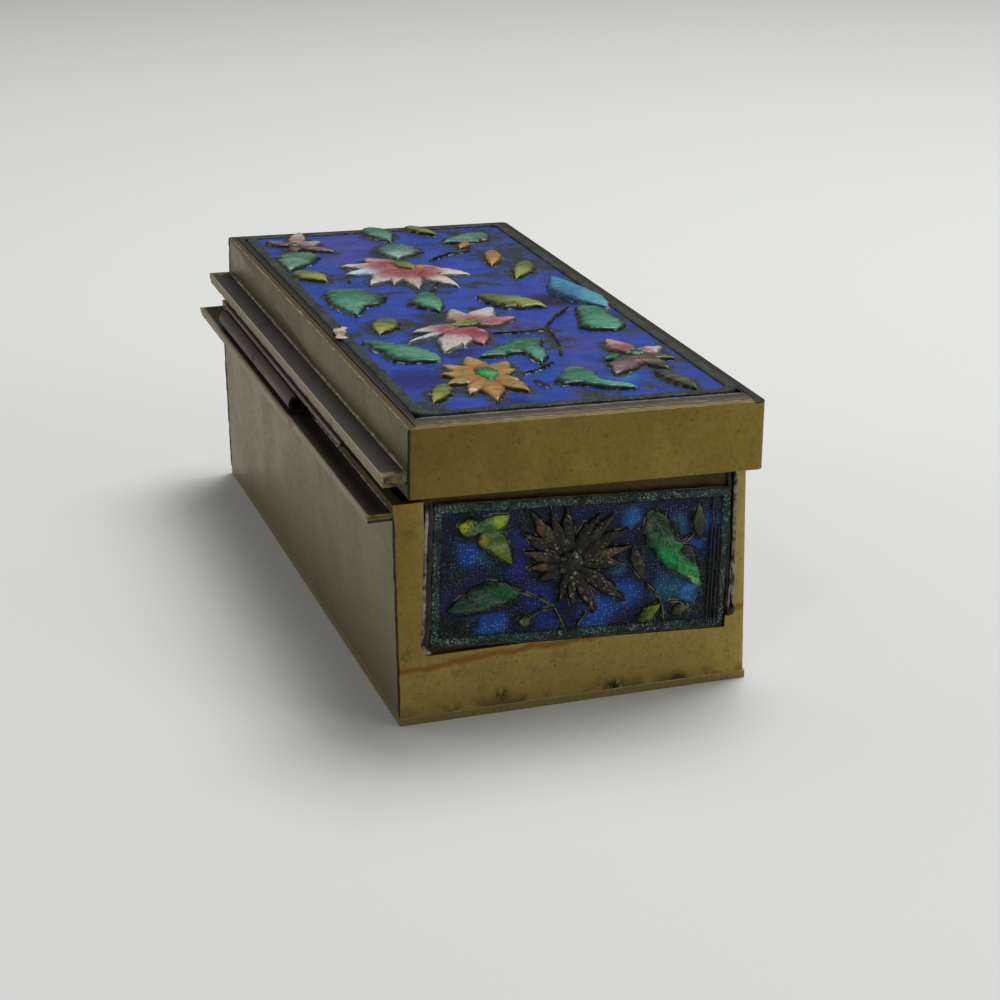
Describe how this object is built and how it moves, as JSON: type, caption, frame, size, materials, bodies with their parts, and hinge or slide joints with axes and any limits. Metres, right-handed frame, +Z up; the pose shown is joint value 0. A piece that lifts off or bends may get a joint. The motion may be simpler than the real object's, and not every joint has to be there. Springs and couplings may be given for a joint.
{
  "type": "hinged cloisonne enamel box",
  "caption": "Oblong hinged brass box with raised-flower enamel plaques let into its tilted lid, front and ends, and a worn hinge with a knuckle missing.",
  "frame": {"origin": "middle of the underside of the body's bottom plate", "axes": "+X along the length away from the end with the tilted plaque, +Y towards the hinge, +Z up"},
  "size_m": [0.1194, 0.0572, 0.044],
  "materials": {
    "brass": "olive, pitted, worn sheet brass",
    "dark_brass": "dark brown tarnished brass with light worn edges",
    "pin": "dull drawn wire",
    "enamel": "glossy translucent enamel on raised copper, with dark metal outlines"
  },
  "bodies": {
    "box": {"bottom_plate": "brass", "body_wall_strip": "brass", "body_back_wall": "brass", "hinge_ledge": "dark_brass", "body_hinge_leaf": "dark_brass", "hinge_pin": "pin", "near_end_plaque": "enamel", "far_end_plaque": "enamel", "front_plaque": "enamel"},
    "lid": {"lid_wall_strip": "brass", "lid_back_wall": "brass", "lid_top_plate": "brass", "lid_plaque": "enamel", "lid_hinge_flange": "dark_brass", "lid_hinge_leaf": "dark_brass"}
  },
  "joints": [
    {"name": "lid_hinge", "type": "hinge", "parent": "box", "child": "lid", "pos_m": [0, 0.0275, 0.03265], "axis": [-1, 0, 0], "range_deg": [0, 105]}
  ]
}
